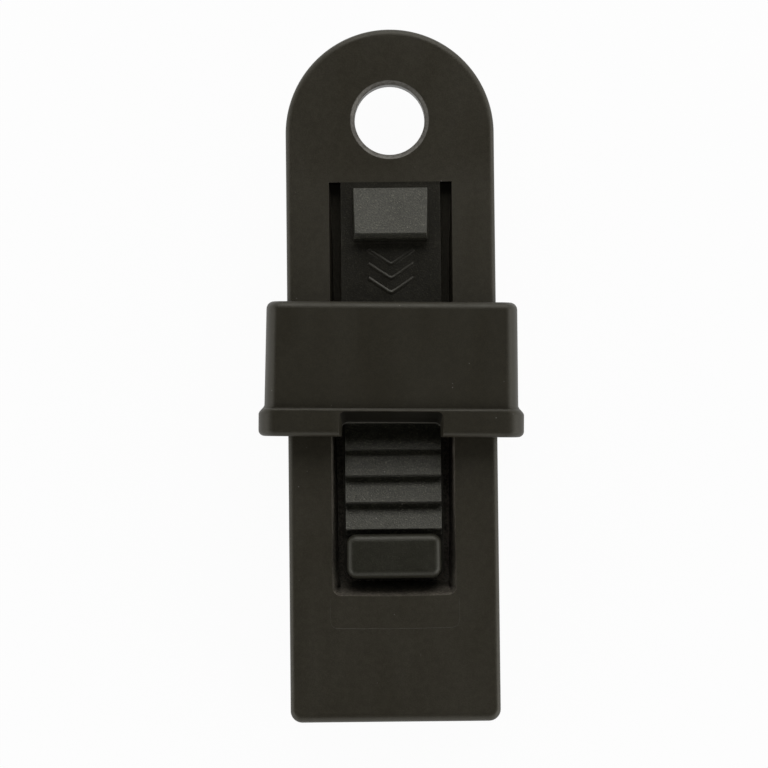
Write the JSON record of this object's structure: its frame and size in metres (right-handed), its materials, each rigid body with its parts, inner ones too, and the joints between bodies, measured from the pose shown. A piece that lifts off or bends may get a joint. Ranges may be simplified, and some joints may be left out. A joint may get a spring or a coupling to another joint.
{
  "type": "tarp clip",
  "caption": "Flat spring-jaw tarp clip with an eyelet head, toothed mouth, sliding lock collar and a ratchet tongue with a release button.",
  "frame": {"origin": "centre of the eyelet's bore, half way through the head", "axes": "+X across the clip, +Y towards the round end of the head (-Y to the mouth), +Z out of the face with the release button, along the eyelet's bore"},
  "size_m": [0.0442, 0.1152, 0.028],
  "materials": {
    "body_plastic": "satin moulded, warm black",
    "tongue_plastic": "fine spark-eroded grain, warm black",
    "collar_plastic": "satin moulded, warm black"
  },
  "bodies": {
    "head": {"eyelet_head": "body_plastic"},
    "collar": {"collar_sleeve": "collar_plastic", "collar_flange": "collar_plastic", "collar_pawl": "collar_plastic"},
    "upper_jaw": {"upper_jaw": "body_plastic", "upper_flexure": "body_plastic", "upper_grip_teeth": "body_plastic", "collar_stop": "tongue_plastic"},
    "lower_jaw": {"lower_jaw": "body_plastic", "lower_flexure": "body_plastic", "lower_grip_teeth": "body_plastic"},
    "latch": {"latch_tongue": "tongue_plastic", "tongue_flexure": "tongue_plastic", "ratchet_teeth": "tongue_plastic", "release_button": "tongue_plastic"}
  },
  "joints": [
    {"name": "collar_slide", "type": "slide", "parent": "head", "child": "collar", "axis": [0, -1, 0], "range_m": [-0.01, 0.01784], "deforming": ["ratchet_teeth"]},
    {"name": "upper_jaw_flex", "type": "hinge", "parent": "head", "child": "upper_jaw", "pos_m": [0, -0.009, 0.0032], "axis": [-1, 0, 0], "range_deg": [-2.12, 1.19], "deforming": ["upper_flexure"]},
    {"name": "lower_jaw_flex", "type": "hinge", "parent": "head", "child": "lower_jaw", "pos_m": [0, -0.009, -0.0032], "axis": [1, 0, 0], "range_deg": [-2.12, 1.19], "deforming": ["lower_flexure"]},
    {"name": "button_press", "type": "hinge", "parent": "upper_jaw", "child": "latch", "pos_m": [0, -0.02391, 0.00508], "axis": [1, 0, 0], "range_deg": [0, 3.8], "stiffness_Nm_per_rad": 0.2, "springref_deg": -2.86, "deforming": ["tongue_flexure"]}
  ],
  "couplings": [
    {"joint": "upper_jaw_flex", "follows": "collar_slide", "rad_per_m": -2.0646},
    {"joint": "lower_jaw_flex", "follows": "collar_slide", "rad_per_m": -2.0646}
  ]
}
